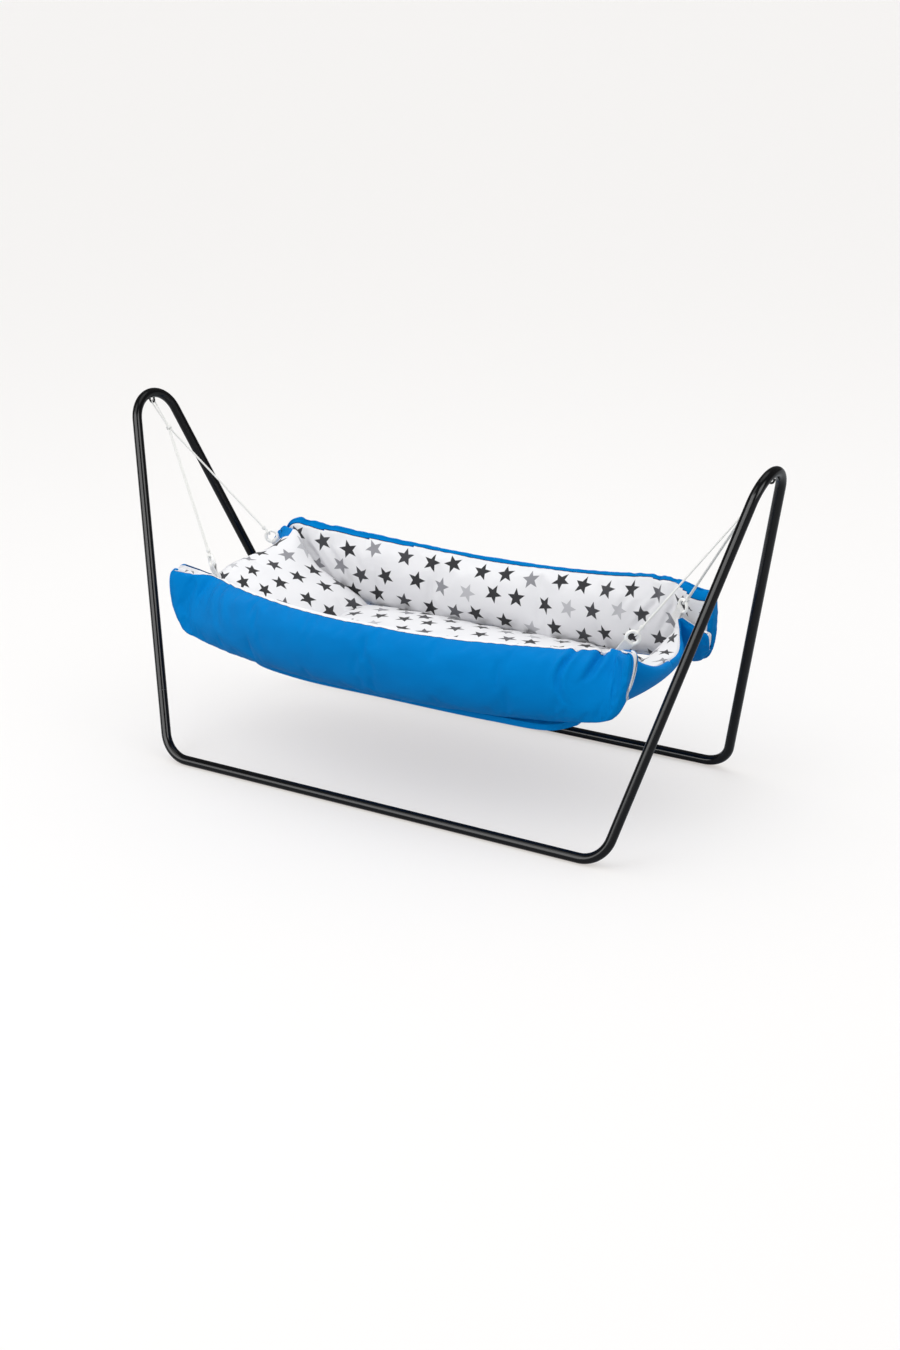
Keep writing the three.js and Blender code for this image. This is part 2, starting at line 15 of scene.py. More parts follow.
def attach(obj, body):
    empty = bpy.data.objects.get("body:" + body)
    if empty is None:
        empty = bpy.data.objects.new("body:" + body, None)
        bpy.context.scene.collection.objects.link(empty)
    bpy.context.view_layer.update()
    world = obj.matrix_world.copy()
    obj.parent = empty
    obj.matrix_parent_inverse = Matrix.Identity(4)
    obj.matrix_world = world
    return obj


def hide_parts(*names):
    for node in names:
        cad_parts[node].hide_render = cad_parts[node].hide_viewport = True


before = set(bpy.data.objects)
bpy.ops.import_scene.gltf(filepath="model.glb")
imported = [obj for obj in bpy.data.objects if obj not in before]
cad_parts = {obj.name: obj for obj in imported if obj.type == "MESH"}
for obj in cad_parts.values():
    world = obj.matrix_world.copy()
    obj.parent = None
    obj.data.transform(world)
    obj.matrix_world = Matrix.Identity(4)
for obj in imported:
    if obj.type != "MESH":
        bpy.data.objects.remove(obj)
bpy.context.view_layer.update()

# ---- Camera ----
# Stands to the right of the cradle's front, a little above it, and looks down by about 21 degrees.
# The lens and the small roll are those that bring the tubes' lines onto the photographed ones.
camera_place = Vector((2.11703, -3.16472, 1.64595))
camera_turn = 0.584345
camera_dip = 0.363671
camera_roll = -0.031151
lens_share = 2002.8 / 1350  # focal length over the frame's long side
sensor_width = 36


def placed(name, data):
    """A new object in the scene."""
    piece = bpy.data.objects.new(name, data)
    bpy.context.collection.objects.link(piece)
    return piece


camera = placed("camera", bpy.data.cameras.new("camera"))
camera.matrix_world = Matrix.Translation(camera_place)
for angle, axis in ((camera_turn, "Z"), (math.pi / 2 - camera_dip, "X"), (camera_roll, "Z")):
    camera.matrix_world @= Matrix.Rotation(angle, 4, axis)
camera.data.sensor_fit = "AUTO"
camera.data.sensor_width = sensor_width
camera.data.lens = sensor_width * lens_share
bpy.context.scene.camera = camera

# ---- Floor and light ----
# A plain pale floor that glows a little with painted light, seen only by the camera, to lighten the cradle's
# shadow, under an even white sky and four soft lamps. A shiny face mirrors a dark room with two soft boxes in
# it instead, which gives the tubes their narrow streaks.
floor_tones = ("#afb2b5", "#adb0b4")
floor_size = 160
floor_drop = 0.0005  # keeps the floor clear of the rails' undersides
# The floor's painted glow, seen only by the camera, which lightens the shadows on it
floor_painted_glow = (0.482, 0.452, 0.422)
sky_strength = 1.0
dark_room = 0.12  # what a shiny face mirrors between the soft boxes
soft_boxes = (  # direction and half width in radians, sine of the rise and its half height, strength
    (-1.78, 0.56, 0.36, 0.30, 5.2),
    (-0.25, 0.30, 0.36, 0.30, 4.4),
)
box_blur = 0.05
lamp_aim = Vector((0, 0, 0.3))
lamps = (  # name, place, size across and power
    ("key_light", (-1.2, -2.2, 3.6), 2.6, 29),
    ("side_light", (3.4, -0.6, 2.4), 2.2, 8),
    ("top_light", (0.2, 0.6, 3.6), 2.4, 15),
    ("edge_light", (-0.6, -3.6, 2.0), 0.34, 3.2),
)


def srgb(code):
    """The linear colour of an sRGB hex code."""
    shares = [int(code[i:i + 2], 16) / 255 for i in (1, 3, 5)]
    return [s / 12.92 if s <= 0.04045 else ((s + 0.055) / 1.055) ** 2.4 for s in shares] + [1]


def put(material, kind, values=None, links=None, **settings):
    """Adds a node to a material or world. A link starts at a socket, or at a node's first output."""
    node = material.node_tree.nodes.new("ShaderNode" + kind)
    for name, value in settings.items():
        setattr(node, name, value)
    for socket, value in (values or {}).items():
        node.inputs[socket].default_value = value
    for socket, source in (links or {}).items():
        start = source if isinstance(source, bpy.types.NodeSocket) else source.outputs[0]
        material.node_tree.links.new(start, node.inputs[socket])
    return node


def reckoned(material, kind, operation, *terms):
    """Adds a Math or VectorMath node over nodes, sockets and plain values."""
    plain = {i: term for i, term in enumerate(terms) if isinstance(term, (int, float, tuple, Vector))}
    linked = {i: term for i, term in enumerate(terms) if i not in plain}
    return put(material, kind, plain, linked, operation=operation)


def on_piece(material, kind, values):
    """Adds a node that reads places on the piece, in its own metres."""
    return put(material, kind, values, {"Vector": put(material, "TexCoord").outputs["Object"]})


def between(material, first, second, share):
    """A blend of two sRGB colours, by a share that varies over the piece."""
    return put(material, "Mix", {6: srgb(first), 7: srgb(second)}, {0: share}, data_type="RGBA").outputs[2]


def ranged(material, source, low, high, start=0, stop=1):
    """Lays a source's values from start to stop over those from low to high."""
    values = {"From Min": start, "From Max": stop, "To Min": low, "To Max": high}
    return put(material, "MapRange", values, {"Value": source})


def surfaced(material, values, links):
    """Adds a material's surface and its output."""
    surface = put(material, "BsdfPrincipled", values, links)
    put(material, "OutputMaterial", links={"Surface": surface})


def finish_named(name):
    """A new material with an empty tree."""
    material = bpy.data.materials.new(name)
    material.use_nodes = True
    material.node_tree.nodes.clear()
    return material


bpy.ops.object.select_all(action="DESELECT")
bpy.ops.mesh.primitive_plane_add(size=floor_size, location=(0, 0, -floor_drop))
floor = bpy.context.active_object
floor.name = "studio_floor"
acrylic = finish_named("pale_floor_painted_glow")
grain = put(acrylic, "TexNoise", {"Scale": 3.0, "Detail": 4.0})
shade = between(acrylic, *floor_tones, grain.outputs["Fac"])
seen = put(acrylic, "LightPath")
# Painted light: the floor's emission reaches the camera only, and lifts the cradle's shadow on it
surfaced(acrylic, {
    "Roughness": 0.9, "Specular IOR Level": 0.1, "Emission Color": (*floor_painted_glow, 1),
}, {"Base Color": shade, "Emission Strength": seen.outputs["Is Camera Ray"]})
floor.data.materials.append(acrylic)

sky = bpy.data.worlds.new("studio_sky")
sky.use_nodes = True
sky.node_tree.nodes.clear()
way = put(sky, "TexCoord")
parts = put(sky, "SeparateXYZ", links={0: way.outputs["Generated"]})
turn = reckoned(sky, "Math", "ARCTAN2", parts.outputs[1], parts)
mirrored = put(sky, "Value")
mirrored.outputs[0].default_value = dark_room
for turned, half_turn, rise, half_rise, strength in soft_boxes:
    inside = None
    for source, centre, half in ((turn.outputs[0], turned, half_turn), (parts.outputs[2], rise, half_rise)):
        off = reckoned(sky, "Math", "SUBTRACT", source, centre)
        off = reckoned(sky, "Math", "ABSOLUTE", off)
        share = ranged(sky, off, 1, 0, half - box_blur, half + box_blur)
        inside = reckoned(sky, "Math", "MULTIPLY", share, strength if inside is None else inside)
    mirrored = reckoned(sky, "Math", "ADD", mirrored, inside)
seen = put(sky, "LightPath")
light = put(sky, "Mix", {2: sky_strength}, {0: seen.outputs["Is Glossy Ray"], 3: mirrored}, data_type="FLOAT")
glow = put(sky, "Background", {"Color": srgb("#ffffff")}, {"Strength": light})
put(sky, "OutputWorld", links={"Surface": glow})
bpy.context.scene.world = sky
bpy.context.scene.view_settings.view_transform = "Standard"
for name, place, size, power in lamps:
    light = bpy.data.lights.new(name, "AREA")
    light.shape = "DISK"
    light.size = size
    light.energy = power
    lamp = placed(name, light)
    lamp.location = place
    lamp.rotation_euler = (lamp_aim - Vector(place)).to_track_quat("-Z", "Y").to_euler()

# ---- Floor rails ----
# Two lengths of 20 mm steel tube, bent up at both ends on one die and powder-coated black.
# Each end meets an arch 128 mm above the rail in a hairline joint, plugged over an inner sleeve.
both_ends = ((-1, "left"), (1, "right"))
both_sides = ((-1, "front"), (1, "back"))
tube = 0.020
bend_radius = 0.064
rail_half_length = 0.517
stand_half_width = 0.2625
leg_rise = 0.855
leg_lean = 0.246
joint_height = 0.128
joint_gap = 0.0003
bend_steps = 18


def leg_point(end, side, height):
    """A point on the centreline of a leg: end -1 left or 1 right, side -1 front or 1 back."""
    share = height / leg_rise
    reach = rail_half_length + leg_lean * share
    return Vector((end * reach, side * stand_half_width * (1 - share), tube / 2 + height))


def bent(corners, radius, steps):
    """The points of a path with a round bend at each inner corner."""
    points = [corners[0]]
    for first, corner, last in zip(corners, corners[1:], corners[2:]):
        before = (corner - first).normalized()
        after = (last - corner).normalized()
        turn = before.angle(after)
        inward = (after - before * after.dot(before)).normalized()
        centre = corner - before * radius * math.tan(turn / 2) + inward * radius
        for step in range(steps + 1):
            angle = turn * step / steps
            points.append(centre - inward * radius * math.cos(angle) + before * radius * math.sin(angle))
    points.append(corners[-1])
    return [p for p, q in zip(points, [None] + points) if q is None or (p - q).length > 1e-6]


def only(piece):
    """Selects one piece alone and makes it active."""
    bpy.ops.object.select_all(action="DESELECT")
    piece.select_set(True)
    bpy.context.view_layer.objects.active = piece


def round_bar(name, points, radius, rings=10):
    """A round bar or cord along points, as a mesh with closed ends."""
    line = bpy.data.curves.new(name, "CURVE")
    line.dimensions = "3D"
    spline = line.splines.new("POLY")
    spline.points.add(len(points) - 1)
    for place, point in zip(spline.points, points):
        place.co = (*point, 1)
    line.bevel_depth = radius
    line.bevel_resolution = rings
    line.use_fill_caps = True
    only(placed(name, line))
    bpy.ops.object.convert(target="MESH")
    piece = bpy.context.active_object
    bpy.ops.object.shade_smooth_by_angle(angle=math.radians(40))
    return piece


def there_and_back(points, way, gaps):
    """Along one side of a line and back along the other, this far off each of its points."""
    pairs = list(zip(points, gaps))
    return [p - way * gap for p, gap in pairs] + [p + way * gap for p, gap in pairs[::-1]]


def joined(name, pieces):
    """Several meshes as one piece."""
    bpy.ops.object.select_all(action="DESELECT")
    for piece in pieces:
        piece.select_set(True)
    bpy.context.view_layer.objects.active = pieces[0]
    bpy.ops.object.join()
    pieces[0].name = name
    return pieces[0]


def dressed(piece, body, slot, *materials):
    """Gives a finished piece its materials and the body that it rides on; the slot is not used."""
    for material in materials:
        piece.data.materials.append(material)
    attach(piece, body)


# Glossy black powder coat on steel: dark and even, with a faint orange-peel skin that blurs the
# highlights a little. The grains of that skin are about 1.2 mm across.
powder_coat = finish_named("black_powder_coated_steel")
peel = on_piece(powder_coat, "TexNoise", {"Scale": 820.0, "Detail": 2.0})
cloud = on_piece(powder_coat, "TexNoise", {"Scale": 14.0, "Detail": 3.0})
tone = between(powder_coat, "#070708", "#0e0e10", cloud.outputs["Fac"])
gloss = ranged(powder_coat, cloud.outputs["Fac"], 0.13, 0.19)
skin = put(powder_coat, "Bump", {"Strength": 0.12, "Distance": 0.0002}, {"Height": peel.outputs["Fac"]})
surfaced(powder_coat, {"IOR": 1.5, "Metallic": 0.0, "Specular IOR Level": 0.3}, {
    "Base Color": tone, "Roughness": gloss, "Normal": skin,
})

for side, side_name in both_sides:
    short = joint_height - joint_gap / 2
    corners = [
        leg_point(-1, side, short), leg_point(-1, side, 0), leg_point(1, side, 0), leg_point(1, side, short),
    ]
    rail = round_bar(f"rail_tube_{side_name}", bent(corners, bend_radius, bend_steps), tube / 2)
    dressed(rail, "stand", "steel", powder_coat)
    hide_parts(f"floor_rail_{side_name}")

# ---- Arches ----
# One length of the same tube each, bent over at the top into a narrow round head.
# The legs stand on the rails' turned-up ends and lean outwards and together.
for end, end_name in both_ends:
    start = joint_height + joint_gap / 2
    corners = [leg_point(end, -1, start), leg_point(end, 0, leg_rise), leg_point(end, 1, start)]
    arch = round_bar(f"arch_tube_{end_name}", bent(corners, bend_radius, 2 * bend_steps), tube / 2)
    dressed(arch, "stand", "steel", powder_coat)
    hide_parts(f"arch_{end_name}")

# ---- Joint sleeves ----
# Short inner tubes inside each joint, out of sight once the stand is plugged together.
# Zinc-plated steel, which gives a dull bluish grey with a fine spangle about 3 mm across.
zinc = finish_named("zinc_plated_steel")
spangle = on_piece(zinc, "TexVoronoi", {"Scale": 330.0})
tone = between(zinc, "#8f9296", "#a9acb0", spangle.outputs["Distance"])
gloss = ranged(zinc, spangle.outputs["Distance"], 0.35, 0.55)
surfaced(zinc, {"Metallic": 1.0}, {"Base Color": tone, "Roughness": gloss})
for name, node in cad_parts.items():
    if name.startswith("joint_sleeve"):
        node.data.materials.clear()
        node.data.materials.append(zinc)

# ---- Cord eyes ----
# A U of 4 mm wire under the head of each arch, its two ends welded to the tube.
# It is coated together with the arch, over a small weld bead at each end.
eye_wire = 0.004
eye_radius = 0.006
eye_drop = 0.014
bead_radius = 0.0009
bead_drop = 0.0012
bend_slack = 0.00001  # keeps the two bends of a U apart


def arch_top(end):
    """The middle of an arch's head, and the way down along the arch from there."""
    corner = leg_point(end, 0, leg_rise)
    leg = (leg_point(end, 1, 0) - corner).normalized()
    down = (leg_point(end, 0, 0) - corner).normalized()
    half_turn = (math.pi - 2 * leg.angle(down)) / 2
    return corner + down * bend_radius * (1 / math.cos(half_turn) - 1), down


for end, end_name in both_ends:
    top, down = arch_top(end)
    across = Vector((0, 1, 0)).cross(down)
    tip = top + down * (eye_drop + eye_radius)
    under = top + down * (tube / 2 + joint_gap / 2)
    corners = there_and_back((under, tip), across, (eye_radius, eye_radius))
    wire = round_bar(f"eye_wire_{end_name}", bent(corners, eye_radius - bend_slack, 10), eye_wire / 2, 6)
    beads = []
    for turn in (-1, 1):
        bpy.ops.object.select_all(action="DESELECT")
        bpy.ops.mesh.primitive_torus_add(
            major_segments=20, minor_segments=8, major_radius=eye_wire / 2, minor_radius=bead_radius,
            location=top + down * (tube / 2 + bead_drop) + across * turn * eye_radius,
            rotation=down.to_track_quat("Z", "Y").to_euler(),
        )
        bead = bpy.context.active_object
        bpy.ops.object.transform_apply(location=True, rotation=True, scale=True)
        bpy.ops.object.shade_smooth()
        beads.append(bead)
    eye = joined(f"wire_eye_{end_name}", [wire, *beads])
    dressed(eye, "stand", "steel", powder_coat)
    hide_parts(f"cord_eye_{end_name}")

# ---- Base panel ----
# A stiffened panel in a blue cover under the mattress, sewn along the foot of both sides.
# The blue cover goes round its edge, which shows as a thin band below the front bolster.
pinch_half_length = 0.476
pinch_half_width = 0.113
pinch_height = 0.369
base_reach = (-0.380, 0.400)
base_columns = 110
base_rows = 40
base_lap = 5  # rows of 10 mm
base_lap_reach = (-0.318, 0.392)  # between the feet of the two end pads
base_swell = (0.05, 2)
base_half_width = 0.200
base_underside = 0.212
base_thickness = 0.016
base_edge = 0.006
floor_run_shares = [0, 0.04, 0.2, 0.5, 0.8, 0.96, 1]
base_width_shares = [0.5, 0.8, 0.97, 1, 1, 0.93, 0.7]
seam_crease = 0.0016
base_fill_shares = [0.35, 0.65, 0.8, 0.95, 1, 0.8, 0.6]


def smooth_line(points, shares, even=False):
    """Points along a smooth curve through others, at shares of its run."""
    points = np.asarray(points, float)
    count = len(points)
    ends = np.vstack([2 * points[0] - points[1], points, 2 * points[-1] - points[-2]])
    run = np.clip(np.asarray(shares) * (count - 1), 0, count - 1)
    first = np.minimum(run.astype(int), count - 2)
    share = (run - first)[:, None]
    a, b, c, d = (ends[first + i] for i in range(4))
    if even:
        leave, arrive = (c - a) / 2, (d - b) / 2
    else:
        gaps = [
            np.maximum(np.sqrt(np.linalg.norm(q - p, axis=1)), 1e-6)[:, None]
            for p, q in ((a, b), (b, c), (c, d))
        ]
        leave = ((b - a) / gaps[0] - (c - a) / (gaps[0] + gaps[1]) + (c - b) / gaps[1]) * gaps[1]
        arrive = ((c - b) / gaps[1] - (d - b) / (gaps[1] + gaps[2]) + (d - c) / gaps[2]) * gaps[1]
    return (
        b + leave * share + (3 * (c - b) - 2 * leave - arrive) * share ** 2
        + (2 * (b - c) + leave + arrive) * share ** 3
    )


def read(mesh, kind="co"):
    """The places or normals of a mesh's vertices, one row each."""
    rows = np.empty(len(mesh.vertices) * 3)
    mesh.vertices.foreach_get(kind, rows)
    return rows.reshape(-1, 3)


def move_to(mesh, places):
    """Puts a mesh's vertices at these places."""
    mesh.vertices.foreach_set("co", places.ravel())
    mesh.update()


def stuffed_panel(
    name, lower, upper, fills, edge, columns, rows, bow=(0, 0, 0), swell=(1, 1), rounded=None, lap=None,
    foot_lap=0,
):
    """A filled panel between two edge curves: two cloth faces sewn together along all their rims.

    The filling's thickness runs from one of fills to the next, and swell gives its shares on both sides of
    the middle surface, which bow pushes out and rounded reshapes. The first material covers the face on the
    side of run x rise, the second the other one and, at a place on the rim, the last lap(place) rows of the
    first too, past a creased seam. With foot_lap it also covers that many rows at the foot, and both ends.
    """
    bow = np.asarray(bow, float)

    def middle(u, v):
        low, high = smooth_line(lower, u), smooth_line(upper, u)
        share = ((1 - np.cos(np.pi * v)) / 2)[:, None]
        bulge = (np.sin(np.pi * u) * np.sin(np.pi * v))[:, None]
        points = low + (high - low) * share + bow * bulge
        return rounded(points, v) if rounded else points

    def unit(vectors):
        return vectors / np.maximum(np.linalg.norm(vectors, axis=1), 1e-9)[:, None]

    across, along = np.meshgrid(np.linspace(0, 1, rows + 1), np.linspace(0, 1, columns + 1))
    u, v = along.ravel(), across.ravel()
    step = 0.004
    run = unit(middle(np.minimum(u + step, 1), v) - middle(np.maximum(u - step, 0), v))
    rise = unit(middle(u, np.minimum(v + step, 1)) - middle(u, np.maximum(v - step, 0)))
    normal = unit(np.cross(run, rise))
    fill = smooth_line([(f, 0, 0) for f in fills], u, even=True)[:, 0]
    half = (edge + np.maximum(fill / 2 - edge, 0) * np.sin(np.pi * v))[:, None]
    size = (columns + 1, rows + 1, 3)
    front = (middle(u, v) + normal * half * swell[0]).reshape(size)
    rear = (middle(u, v) - normal * half * swell[1]).reshape(size)
    crest = (front[:, -1] + rear[:, -1]) / 2
    foot = (front[:, 0] + rear[:, 0]) / 2
    laps = [lap(place) if lap else 0 for place in crest]
    for i, turned in enumerate(laps):
        if 0 < turned < rows:
            inward = rear[i, rows - turned] - front[i, rows - turned]
            front[i, rows - turned] += inward / np.linalg.norm(inward) * seam_crease
    loops = np.concatenate([front, crest[:, None], rear[:, ::-1], foot[:, None]], axis=1)
    count = loops.shape[1]
    girth = np.linalg.norm(np.diff(np.concatenate([loops, loops[:, :1]], axis=1), axis=1), axis=2)
    height = np.concatenate([np.zeros((columns + 1, 1)), np.cumsum(girth, axis=1)], axis=1)
    seam = [rows - turned if 0 < turned < rows // 2 else rows + 1 for turned in laps]
    height -= height[np.arange(columns + 1), seam][:, None]
    centre = loops[:, rows // 2]
    length = np.concatenate([[0], np.cumsum(np.linalg.norm(np.diff(centre, axis=0), axis=1))])
    corners, maps, covers = [], [], []
    for i in range(columns):
        for k in range(count):
            around = ((i, k), (i + 1, k), (i + 1, k + 1), (i, k + 1))
            corners.append([a * count + b % count for a, b in around])
            maps.append([(length[a], height[a, b]) for a, b in around])
            covers.append(0 if foot_lap <= k < rows + (1 - laps[i] if laps[i] < 1 else -laps[i])
                          or (k == count - 1 and not foot_lap) else 1)
    for i, turn in ((0, -1), (columns, 1)):
        ring = i * count
        caps = [(j, count - 2 - j, count - 3 - j, j + 1) for j in range(rows)]
        caps += [(rows, rows + 2, rows + 1), (count - 2, 0, count - 1)]
        for cap in caps:
            corners.append(tuple(ring + k for k in cap[::turn]))
            maps.append([(length[i] + 0.001, height[i, k]) for k in cap[::turn]])
            covers.append(1 if foot_lap or laps[i] == rows else 0)
    mesh = bpy.data.meshes.new(name)
    mesh.from_pydata([tuple(p) for p in loops.reshape(-1, 3)], [], corners)
    layer = mesh.uv_layers.new(name="cloth")
    layer.data.foreach_set("uv", np.array([m for face in maps for m in face], float).ravel())
    mesh.polygons.foreach_set("material_index", covers)
    mesh.update()
    piece = placed(name, mesh)
    seams = piece.vertex_groups.new(name="seams")
    grid = np.arange(len(loops) * count).reshape(len(loops), count)
    held = np.concatenate(
        [grid[:, rows:rows + 3].ravel(), grid[:, count - 2:].ravel(), grid[:, 0], grid[0], grid[-1]],
    )
    seams.add([int(i) for i in np.unique(held)], 1.0, "REPLACE")
    return piece


def reshaped(piece, kind, **settings):
    """Adds a modifier with these settings to the active piece and applies it."""
    bpy.ops.object.modifier_add(type=kind)
    for name, value in settings.items():
        setattr(piece.modifiers[-1], name, value)
    bpy.ops.object.modifier_apply(modifier=piece.modifiers[-1].name)


def filled(piece, pressure, slack, cap, frames):
    """Lets the filling push the cloth out between its sewn rims by no more than cap, then smooths it."""
    only(piece)
    bpy.ops.object.modifier_add(type="CLOTH")
    cloth = piece.modifiers[-1]
    settings = cloth.settings
    settings.quality = 6
    settings.mass = 0.25
    settings.tension_stiffness = settings.compression_stiffness = 12
    settings.shear_stiffness = 4
    settings.bending_stiffness = 0.4
    settings.use_pressure = True
    settings.uniform_pressure_force = pressure
    settings.shrink_min = -slack
    settings.effector_weights.gravity = 0
    settings.vertex_group_mass = "seams"
    settings.pin_stiffness = 2
    cloth.point_cache.frame_start, cloth.point_cache.frame_end = 1, frames
    rest = read(piece.data)
    for moment in range(1, frames + 1):
        bpy.context.scene.frame_set(moment)
    bpy.ops.object.modifier_apply(modifier=cloth.name)
    moves = read(piece.data) - rest
    reach = np.maximum(np.linalg.norm(moves, axis=1), 1e-9)
    moves *= (cap * np.tanh(reach / cap) / reach)[:, None]
    move_to(piece.data, rest + moves)
    bpy.context.scene.frame_set(1)
    only(piece)
    reshaped(piece, "SUBSURF", levels=1, render_levels=1)
    bpy.ops.object.shade_smooth()


def floor_pad(
    name, reach, half_width, width_shares, level, thickness, edge, swell, columns, rows, fill_shares,
    lap=None,
):
    """A flat filled pad whose long edges draw in at the corners."""
    def edge_line(side):
        return [
            (reach[0] + (reach[1] - reach[0]) * share, side * half_width * width, level)
            for share, width in zip(floor_run_shares, width_shares)
        ]
    fills = [thickness * share for share in fill_shares]
    return stuffed_panel(
        name, edge_line(-1), edge_line(1), fills, edge, columns, rows, swell=swell, lap=lap,
        foot_lap=base_lap if lap else 0,
    )


# Blue cotton satin over polyester filling: an even, slightly silky blue with a soft sheen.
# The yarns are 0.25 mm, drawn 1.1 mm wide here so that they show, with slubs and slack in between.
# Along the seam where it meets the lining, the colour darkens into a navy line 3 mm wide: painted shade of
# the seam's groove.
blue_cloth = finish_named("blue_cotton_satin")
# White cotton printed with five-pointed stars 40 mm across in five greys, set at random tilts in
# staggered rows 52 mm apart. The ink soaks in, so a star has the same roughness as the cloth.
star_cloth = finish_named("star_printed_white_cotton")
star_pitch = (0.062, 0.052)
star_tip = 0.0208
star_notch = 0.0088
star_stray = (0.30, 0.26, 0)  # how far a star strays inside its own field, and where from, as shares of it
star_middle = (0.35, 0.37, 0)
star_tilt = 0.55
star_inks = ((0.0, "#2a2a2d"), (0.45, "#3d3d41"), (0.68, "#5a5a5f"), (0.78, "#8d8d92"), (0.88, "#b9b9bd"))
ink_spread = 0.0003

for cloth in (blue_cloth, star_cloth):
    flat = put(cloth, "UVMap", uv_map="cloth")
    threads = []
    for scale in ((900, 900, 1), (-900, 900, 1)):
        lay = put(cloth, "Mapping", {"Scale": scale}, {"Vector": flat})
        threads.append(put(cloth, "TexWave", {"Scale": 1.0, "Distortion": 0.6, "Detail": 1.0}, {
            "Vector": lay,
        }, bands_direction="DIAGONAL").outputs["Fac"])
    weave = reckoned(cloth, "Math", "MULTIPLY", *threads)
    stretched = put(cloth, "Mapping", {"Scale": (14, 26, 1)}, {"Vector": flat})
    slack = put(cloth, "TexNoise", {"Scale": 1.0, "Detail": 3.0, "Roughness": 0.45}, {"Vector": stretched})
    fine = put(cloth, "Bump", {"Strength": 0.18, "Distance": 0.0003}, {"Height": weave})
    relief = put(cloth, "Bump", {"Strength": 0.3, "Distance": 0.006}, {
        "Height": slack.outputs["Fac"], "Normal": fine,
    })
    if cloth is blue_cloth:
        tone = between(cloth, "#0072ba", "#007fca", slack.outputs["Fac"])
        parts = put(cloth, "SeparateXYZ", links={0: flat})
        away = reckoned(cloth, "Math", "ABSOLUTE", parts.outputs[1])
        # Painted shade: the blue turns navy right at the seam and fades out 2 mm from it, where shade falls
        # in its groove
        seam_painted_shade = ranged(cloth, away, 1, 0, 0.0010, 0.0020)
        tone = put(cloth, "Mix", {7: srgb("#04294a")}, {0: seam_painted_shade, 6: tone}, data_type="RGBA").outputs[2]
        surfaced(cloth, {
            "Roughness": 0.6, "Sheen Weight": 0.06, "Sheen Roughness": 0.4, "Sheen Tint": srgb("#2f9bff"),
            "Specular IOR Level": 0.12, "Specular Tint": srgb("#5fb4ff"),
        }, {"Base Color": tone, "Normal": relief})
        continue
    grid = reckoned(cloth, "VectorMath", "MULTIPLY", flat, (1 / star_pitch[0], 1 / star_pitch[1], 0))
    parts = put(cloth, "SeparateXYZ", links={0: grid})
    row = reckoned(cloth, "Math", "FLOOR", parts.outputs[1])
    odd = reckoned(cloth, "Math", "FLOORED_MODULO", row, 2.0)
    shifted = reckoned(cloth, "Math", "MULTIPLY_ADD", odd, 0.5, parts)
    brick = put(cloth, "CombineXYZ", links={0: shifted, 1: parts.outputs[1]})
    cell = reckoned(cloth, "VectorMath", "FLOOR", brick)
    local = reckoned(cloth, "VectorMath", "FRACTION", brick)
    chance = put(cloth, "TexWhiteNoise", links={"Vector": cell}, noise_dimensions="3D")
    stray = reckoned(cloth, "VectorMath", "MULTIPLY_ADD", chance.outputs["Color"], star_stray, star_middle)
    offset = reckoned(cloth, "VectorMath", "SUBTRACT", local, stray)
    metres = reckoned(cloth, "VectorMath", "MULTIPLY", offset, (star_pitch[0], star_pitch[1], 0))
    tilt = ranged(cloth, chance.outputs["Value"], -star_tilt, star_tilt)
    turned = put(cloth, "VectorRotate", links={"Vector": metres, "Angle": tilt}, rotation_type="Z_AXIS")
    sides = put(cloth, "SeparateXYZ", links={0: turned})
    reach = reckoned(cloth, "VectorMath", "LENGTH", turned)
    angle = reckoned(cloth, "Math", "ARCTAN2", sides, sides.outputs[1])
    folded = reckoned(cloth, "Math", "PINGPONG", angle, math.pi / 5)
    beside = reckoned(cloth, "Math", "SINE", folded)
    ahead = reckoned(cloth, "Math", "COSINE", folded)
    pointing = put(cloth, "CombineXYZ", links={0: ahead, 1: beside})
    notch = Vector((star_notch * math.sin(math.pi / 5), star_tip - star_notch * math.cos(math.pi / 5), 0))
    edge_way = notch.normalized()
    lean = reckoned(cloth, "VectorMath", "DOT_PRODUCT", pointing, edge_way)
    beyond = reckoned(
        cloth, "Math", "MULTIPLY_ADD", lean.outputs["Value"], reach.outputs["Value"], -edge_way.x * star_tip,
    )
    inked = ranged(cloth, beyond, 1, 0, -ink_spread, ink_spread)
    draw = put(cloth, "SeparateColor", links={0: chance.outputs["Color"]})
    inks = put(cloth, "ValToRGB", links={0: draw.outputs[2]})
    inks.color_ramp.interpolation = "CONSTANT"
    for i, (share, code) in enumerate(star_inks):
        stop = inks.color_ramp.elements[i] if i < 2 else inks.color_ramp.elements.new(share)
        stop.position = share
        stop.color = srgb(code)
    ground = between(cloth, "#dfdfe2", "#e9e9eb", slack.outputs["Fac"])
    printed = put(cloth, "Mix", links={0: inked, 6: ground, 7: inks}, data_type="RGBA")
    surfaced(cloth, {
        "Roughness": 0.82, "Sheen Weight": 0.12, "Sheen Roughness": 0.5, "Specular IOR Level": 0.3,
    }, {"Base Color": printed.outputs[2], "Normal": relief})


def rows_round_ends(place):
    """The blue cover comes up over the long edges by base_lap, and over both ends outside the pads' feet."""
    return base_lap if base_lap_reach[0] < place[0] < base_lap_reach[1] else base_rows


base_top = base_underside + base_thickness
base = floor_pad(
    "base_cover", base_reach, base_half_width, base_width_shares, base_top, base_thickness, base_edge,
    base_swell, base_columns, base_rows, base_fill_shares, lap=rows_round_ends,
)
filled(base, pressure=1.0, slack=0.0, cap=0.004, frames=8)
dressed(base, "nest", "blue_cloth", star_cloth, blue_cloth)
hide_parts("base_panel")

